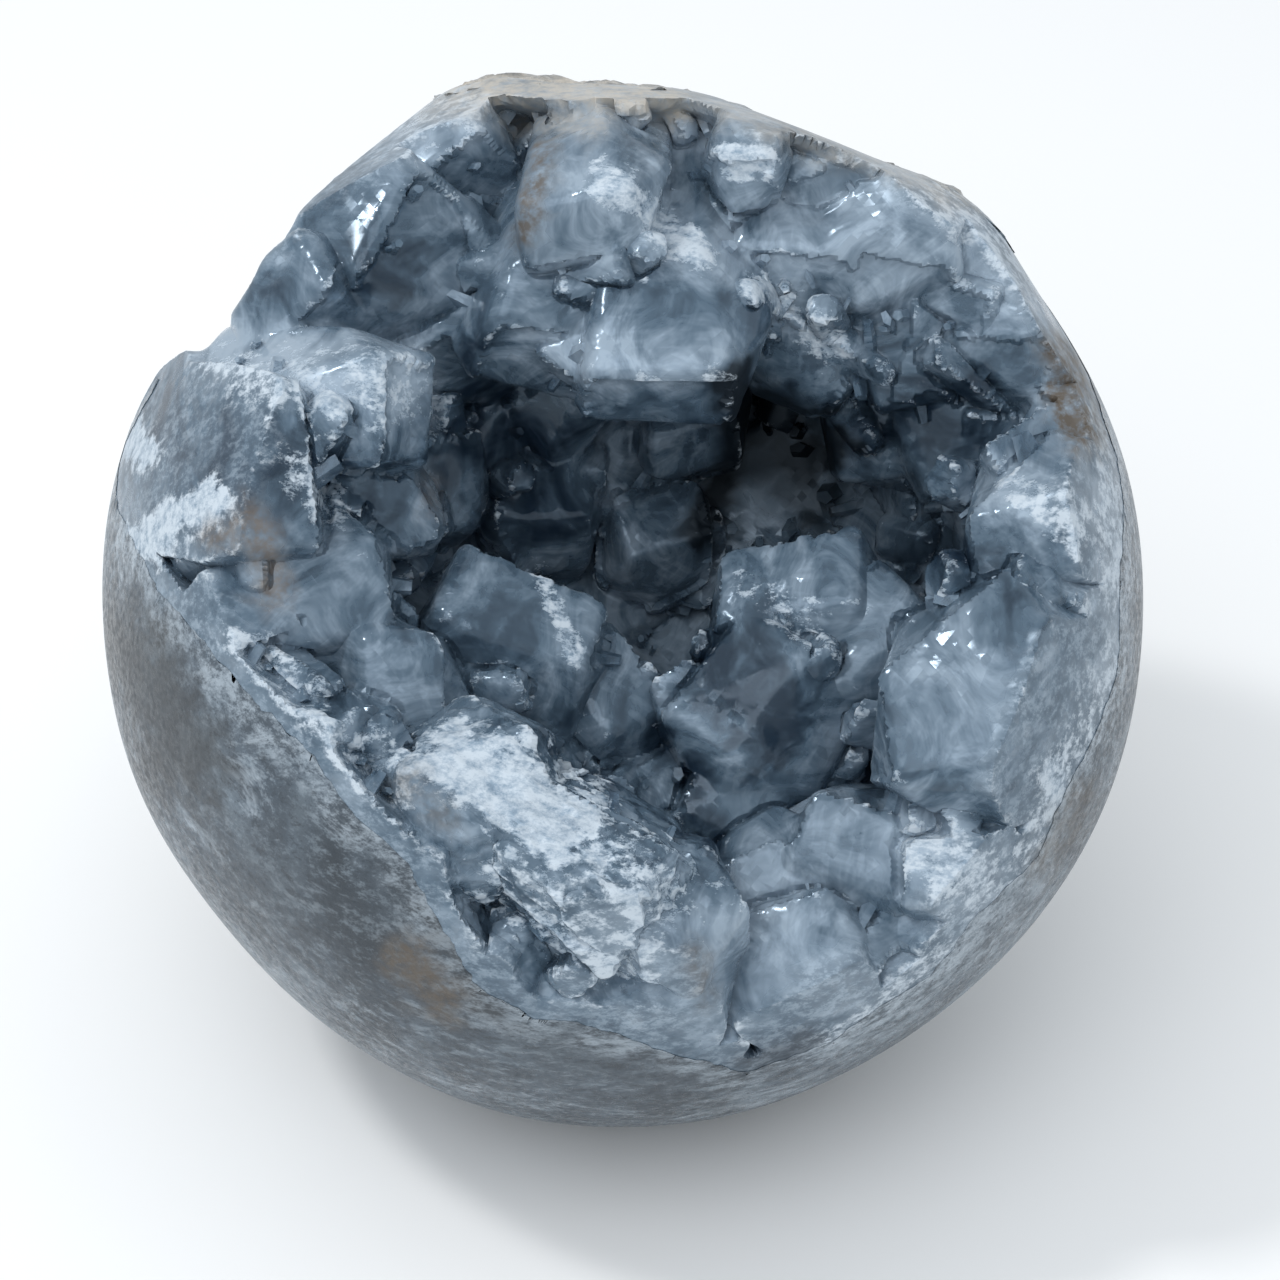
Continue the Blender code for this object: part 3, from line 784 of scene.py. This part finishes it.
def scatter_tree(material):
    """Geometry Nodes that strew blunt crystals over a surface, standing out from it."""
    tree = bpy.data.node_groups.new("strewn crystals", "GeometryNodeTree")
    face = tree.interface
    face.new_socket("Geometry", in_out="INPUT", socket_type="NodeSocketGeometry")
    for name, kind in (
        ("Spacing", "NodeSocketFloat"),
        ("Narrowest", "NodeSocketFloat"),
        ("Widest", "NodeSocketFloat"),
        ("Lean", "NodeSocketFloat"),
        ("Seed", "NodeSocketInt"),
    ):
        face.new_socket(name, in_out="INPUT", socket_type=kind)
    face.new_socket("Geometry", in_out="OUTPUT", socket_type="NodeSocketGeometry")
    given = add_node(tree, "NodeGroupInput").outputs
    squared = add_node(tree, "ShaderNodeMath", {"operation": "MULTIPLY"})
    tree.links.new(given["Spacing"], squared.inputs[0])
    tree.links.new(given["Spacing"], squared.inputs[1])
    density = add_node(tree, "ShaderNodeMath", {"operation": "DIVIDE"})
    density.inputs[0].default_value = 1.0
    tree.links.new(squared.outputs[0], density.inputs[1])
    room = add_node(tree, "GeometryNodeInputNamedAttribute", {"data_type": "FLOAT"}, {"Name": "room"})
    spread = add_node(tree, "ShaderNodeMath", {"operation": "MULTIPLY"})
    tree.links.new(density.outputs[0], spread.inputs[0])
    tree.links.new(room.outputs["Attribute"], spread.inputs[1])
    points = add_node(
        tree,
        "GeometryNodeDistributePointsOnFaces",
        {"distribute_method": "RANDOM"},
        {"Mesh": given["Geometry"], "Density": spread.outputs[0], "Seed": given["Seed"]},
    )
    # A five-sided blunt cone, sunk so that its foot lies under the surface
    blunt = add_node(
        tree,
        "GeometryNodeMeshCone",
        {"fill_type": "NGON"},
        {
            "Vertices": 5,
            "Side Segments": 1,
            "Fill Segments": 1,
            "Radius Top": 0.6,
            "Radius Bottom": 1.0,
            "Depth": 1.9,
        },
    )
    sunk = add_node(
        tree,
        "GeometryNodeTransform",
        inputs={"Geometry": blunt.outputs["Mesh"], "Translation": (0.0, 0.0, -0.7)},
    )
    lean = add_node(tree, "FunctionNodeRandomValue", {"data_type": "FLOAT_VECTOR"})
    tree.links.new(given["Seed"], lean.inputs["Seed"])
    lean.inputs[0].default_value = (-1, -1, -1)
    lean.inputs[1].default_value = (1, 1, 1)
    scaling = ("ShaderNodeVectorMath", {"operation": "SCALE"})
    leaned = add_node(tree, *scaling, {0: lean.outputs[0], "Scale": given["Lean"]})
    aim = add_node(
        tree,
        "ShaderNodeVectorMath",
        {"operation": "ADD"},
        {0: points.outputs["Normal"], 1: leaned.outputs[0]},
    )
    upright = add_node(tree, "FunctionNodeAlignRotationToVector", {"axis": "Z"}, {"Vector": aim.outputs[0]})
    turn = add_node(tree, "FunctionNodeRandomValue", {"data_type": "FLOAT"})
    turn.inputs[3].default_value = math.tau
    spin = add_node(tree, "FunctionNodeAxisAngleToRotation", inputs={"Axis": (0, 0, 1)})
    tree.links.new(turn.outputs[1], spin.inputs["Angle"])
    turned = add_node(tree, "FunctionNodeRotateRotation", {"rotation_space": "LOCAL"})
    tree.links.new(upright.outputs[0], turned.inputs[0])
    tree.links.new(spin.outputs[0], turned.inputs[1])
    size = add_node(tree, "FunctionNodeRandomValue", {"data_type": "FLOAT"})
    tree.links.new(given["Narrowest"], size.inputs[2])
    tree.links.new(given["Widest"], size.inputs[3])
    shape = add_node(tree, "FunctionNodeRandomValue", {"data_type": "FLOAT_VECTOR"})
    shape.inputs[0].default_value = (0.6, 0.5, 0.8)
    shape.inputs[1].default_value = (1.2, 1.0, 1.9)
    sized = add_node(tree, *scaling, {0: shape.outputs[0], "Scale": size.outputs[1]})
    strewn = add_node(
        tree,
        "GeometryNodeInstanceOnPoints",
        inputs={
            "Points": points.outputs["Points"],
            "Instance": sunk.outputs["Geometry"],
            "Rotation": turned.outputs[0],
            "Scale": sized.outputs[0],
        },
    )
    real = add_node(tree, "GeometryNodeRealizeInstances", inputs={"Geometry": strewn.outputs["Instances"]})
    finish = add_node(
        tree,
        "GeometryNodeSetMaterial",
        inputs={"Geometry": real.outputs["Geometry"], "Material": material},
    )
    add_node(tree, "NodeGroupOutput", inputs={"Geometry": finish.outputs["Geometry"]})
    return tree


def strew(name, base, tree, spacing, narrowest, widest, lean, seed):
    """A mesh of crystals strewn over a base object where its room attribute allows."""
    thing = add_object(name, base.data.copy())
    change = thing.modifiers.new("strewn", "NODES")
    change.node_group = tree
    given = {"Spacing": spacing, "Narrowest": narrowest, "Widest": widest, "Lean": lean, "Seed": seed}
    for item in tree.interface.items_tree:
        if item.in_out == "INPUT" and item.name in given:
            change[item.identifier] = given[item.name]
    apply_modifiers(thing)
    return thing


def hollow_room(mesh, places, most_out):
    """Where there is room for crystals: surfaces that face the middle of the hollow, away from the
    ball's own surface."""
    normals = mesh_normals(mesh)
    middle = np.array(BALL_CENTRE + face_on(*MOUTH_MIDDLE))
    inward = middle - mesh_points(mesh)
    inward /= np.linalg.norm(inward, axis=1, keepdims=True)
    sight = np.array(face_on(0, 0, 1).normalized())
    facing = np.clip(np.maximum((normals * inward).sum(1), normals @ sight) * 2.5 - 0.5, 0, 1)
    depth = ball_radii(mesh_points(mesh)) - np.linalg.norm(places, axis=1)
    return facing * np.clip((depth - 0.8) / 1.5, 0, 1) * (places[:, 2] < most_out)


def keep_inside(points, skin):
    """Points moved to the tumbled surface where they lie near it or stand out of it, so that crystals
    are cut flush with the ball, a skin in millimetres below it."""
    centre = np.array(BALL_CENTRE)
    surface = ball_radii(points)
    away = np.linalg.norm(points - centre, axis=1) / MM
    depth = np.interp(surface - away, (0.0, 0.45, 0.9), (skin, skin, 0.9))
    depth = np.where(surface - away > 0.9, surface - away, depth)
    return centre + (points - centre) * ((surface - depth) / away)[:, None]


# Narrowest and widest medium crystals and druse crystals, in metres, and how far they lean
BLOCK_WIDTHS = (0.0015, 0.0031)
BLOCK_LEAN = 1.3
DRUSE_WIDTHS = (0.0004, 0.0011)
DRUSE_LEAN = 0.7
MOST_TRIANGLES = 195000


def etched_crust(sizes, tree):
    """The crust of crystals: the solid joined with medium crystals in its recesses, its faces gently
    uneven, and the white mass drawn out into fibres."""
    thing = copy_of_node("celestite_crystals", "crystal_crust")
    remeshed(thing, sizes.grain * 1.6)
    mesh = thing.data
    places = face_on_places(mesh_points(mesh))
    recess = np.clip(-0.05 - 1.4 * standing_out(mesh, 60), 0, 1)
    set_share(mesh, "room", hollow_room(mesh, places, 34.0) * recess)
    blocks = strew("blocks", thing, tree, sizes.block_spacing, *BLOCK_WIDTHS, BLOCK_LEAN, sizes.seed)
    join_meshes(thing, blocks)
    remeshed(thing, sizes.grain)
    mesh = thing.data
    points = mesh_points(mesh)
    places = face_on_places(points)
    normals = mesh_normals(mesh)
    rough = np.clip(noise_at(places, 7.0, 2, 9.0) * 2.2 + 0.1, 0, 1)
    steps = noise_at(places, 1.4, 2, 6.0)
    # The side towards the rock grows into it, so that no gap shows between the two
    outward = (normals * (points - np.array(BALL_CENTRE + face_on(*MOUTH_MIDDLE)))).sum(1) > 0
    rise = 0.12 + 0.1 * noise_at(places, 6.0, 2, 1.0) + steps * rough * sizes.relief / MM
    rise += fibres(places) + 0.6 * outward
    set_points(mesh, points + normals * (rise * MM)[:, None])
    softened(thing, 2)
    set_points(thing.data, keep_inside(mesh_points(thing.data), 0.04))
    thinned(thing, MOST_TRIANGLES)
    return thing


def fibres(places):
    """Height, in millimetres, of the ridges that run along the white mass."""
    along = (FIBRE_END - FIBRE_START).normalized()
    middle = np.array((FIBRE_START + FIBRE_END) / 2)
    share = np.clip(1.6 - np.linalg.norm((places - middle) / np.array((12, 12, 10)), axis=1) * 1.3, 0, 1)
    axis = np.array(along)
    run = (places - middle) @ axis
    across = places - run[:, None] * axis
    stretched = across / 0.8 + (run / 9.0)[:, None] * axis
    near = share > 0
    height = np.zeros(len(places))
    height[near] = [noise.fractal(Vector(p), 0.7, 2.1, 3) for p in stretched[near]]
    return 0.55 * height * share


def join_meshes(thing, other):
    """Adds another object's mesh to an object's, and removes the other."""
    both = bmesh.new()
    both.from_mesh(thing.data)
    both.from_mesh(other.data)
    both.to_mesh(thing.data)
    both.free()
    bpy.data.objects.remove(other, do_unlink=True)


def finish_crystals(thing, material, wear):
    """Gives a piece its marks, the white on its edges, partly frost and partly a painted glint, its
    material and its place in the object.
    """
    mesh = thing.data
    places = face_on_places(mesh_points(mesh))
    set_marks(mesh, places)
    depth = ball_radii(mesh_points(mesh)) - np.linalg.norm(places, axis=1)
    set_share(mesh, "skin", 1.0 - depth / 1.5 + 0.9 * noise_at(places, 3.4, 4, 12.0))
    # White on convex edges: partly frost, partly a painted glint
    set_share(mesh, "wear", wear * np.clip(standing_out(mesh, 3) * 6.0 - 0.1, 0, 1))
    set_share(mesh, "etched", 0.12 * np.clip(noise_at(places, 4.0, 3, 2.0) + 0.3, 0, 1))
    mesh.materials.clear()
    mesh.materials.append(material)
    mesh.shade_smooth()
    mesh.set_sharp_from_angle(angle=math.radians(28))
    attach(thing, "root")


def make_crystals(sizes, material):
    """The crust, then the fine druse strewn over the parts of it that are not clean faces."""
    tree = scatter_tree(material)
    crust = etched_crust(sizes, tree)
    mesh = crust.data
    places = face_on_places(mesh_points(mesh))
    recess = np.clip(-0.1 - 2.2 * standing_out(mesh, 25), 0, 1)
    set_share(mesh, "room", hollow_room(mesh, places, 36.0) * recess)
    spacing = sizes.druse_spacing
    druse = strew("celestite_druse", crust, tree, spacing, *DRUSE_WIDTHS, DRUSE_LEAN, sizes.seed + 1)
    set_points(druse.data, keep_inside(mesh_points(druse.data), 0.1))
    finish_crystals(crust, material, 1.0)
    finish_crystals(druse, material, 0.0)
    druse.data.shade_flat()
    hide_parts("crystal_crust")


def aim(thing, target):
    thing.rotation_euler = (target - thing.location).to_track_quat("-Z", "Y").to_euler()


def add_light(name, place, target, size, power, colour):
    lamp = bpy.data.lights.new(name, "AREA")
    lamp.shape = "SQUARE"
    lamp.size = size
    lamp.energy = power
    lamp.color = colour
    thing = add_object(name, lamp)
    thing.location = place
    aim(thing, target)


CAMERA_DISTANCE = 0.32
PHOTO_SIDE = 1280
PHOTO_BALL_RADIUS = 521
PHOTO_BALL_MIDDLE = (622, 605)
SENSOR = 36.0


def make_camera():
    """A camera that looks square into the mouth, framed as the photograph is."""
    per_pixel = BALL_RADIUS / PHOTO_BALL_RADIUS
    right = (PHOTO_SIDE / 2 - PHOTO_BALL_MIDDLE[0]) * per_pixel
    up = (PHOTO_BALL_MIDDLE[1] - PHOTO_SIDE / 2) * per_pixel
    data = bpy.data.cameras.new("camera")
    thing = add_object("camera", data)
    thing.location = BALL_CENTRE + face_on(0, 0, CAMERA_DISTANCE / MM)
    aim(thing, BALL_CENTRE + face_on(right, up, 0))
    edge = math.tan(math.asin(BALL_RADIUS * MM / CAMERA_DISTANCE))
    data.sensor_width = SENSOR
    data.lens = SENSOR * PHOTO_BALL_RADIUS / PHOTO_SIDE / edge
    data.clip_start = 0.01
    bpy.context.scene.camera = thing


def make_floor():
    """A plain pale sheet that the stone stands on."""
    mesh = bpy.data.meshes.new("floor")
    sheet = bmesh.new()
    bmesh.ops.create_grid(sheet, x_segments=1, y_segments=1, size=3.0)
    sheet.to_mesh(mesh)
    sheet.free()
    thing = add_object("floor", mesh)
    # Matt card has no gloss, so only the stone's soft shadow shows on it
    material, tree = new_material("pale matt card")
    shader = add_node(tree, "ShaderNodeBsdfDiffuse", inputs={"Color": four(srgb("#f6f6f5"))})
    add_node(tree, "ShaderNodeOutputMaterial", inputs={"Surface": shader.outputs["BSDF"]})
    mesh.materials.append(material)


def make_light():
    world = bpy.data.worlds.new("soft studio")
    bpy.context.scene.world = world
    world.use_nodes = True
    back = world.node_tree.nodes["Background"]
    back.inputs["Color"].default_value = four(srgb("#eef3f8"))
    back.inputs["Strength"].default_value = 0.93
    add_light("key", BALL_CENTRE + Vector((-0.25, -0.04, 0.4)), BALL_CENTRE, 0.06, 0.62, srgb("#ffffff"))
    add_light("front", BALL_CENTRE + face_on(-90, 130, 460), BALL_CENTRE, 0.3, 0.6, srgb("#fbfcff"))
    bpy.context.scene.view_settings.view_transform = "Standard"


class GEODE_OT_rock(bpy.types.Operator):
    """Builds the tumbled rock around the hollow"""

    bl_idname = "geode.rock"
    bl_label = "Rock"

    def execute(self, context):
        make_rock(rock_material(context.scene.geode_colours))
        return {"FINISHED"}


class GEODE_OT_crystals(bpy.types.Operator):
    """Builds the crust of celestite crystals and the druse between them"""

    bl_idname = "geode.crystals"
    bl_label = "Crystals"

    def execute(self, context):
        make_crystals(context.scene.geode_sizes, crystal_material(context.scene.geode_colours))
        return {"FINISHED"}


class GEODE_OT_stage(bpy.types.Operator):
    """Builds the pale floor, the soft light and the camera"""

    bl_idname = "geode.stage"
    bl_label = "Stage"

    def execute(self, context):
        make_floor()
        make_light()
        make_camera()
        return {"FINISHED"}


class GEODE_PT_panel(bpy.types.Panel):
    bl_label = "Celestite geode"
    bl_space_type = "VIEW_3D"
    bl_region_type = "UI"
    bl_category = "Geode"

    def draw(self, context):
        for group in (context.scene.geode_sizes, context.scene.geode_colours):
            for name in group.__annotations__:
                self.layout.prop(group, name)
        for operator in OPERATORS:
            self.layout.operator(operator.bl_idname)


OPERATORS = (GEODE_OT_rock, GEODE_OT_crystals, GEODE_OT_stage)
CLASSES = (GeodeSizes, GeodeColours, *OPERATORS, GEODE_PT_panel)


def register():
    for item in CLASSES:
        bpy.utils.register_class(item)
    bpy.types.Scene.geode_sizes = PointerProperty(type=GeodeSizes)
    bpy.types.Scene.geode_colours = PointerProperty(type=GeodeColours)


def unregister():
    del bpy.types.Scene.geode_colours
    del bpy.types.Scene.geode_sizes
    for item in reversed(CLASSES):
        bpy.utils.unregister_class(item)


def main():
    register()
    bpy.ops.geode.rock()
    bpy.ops.geode.crystals()
    bpy.ops.geode.stage()


if __name__ == "__main__":
    main()
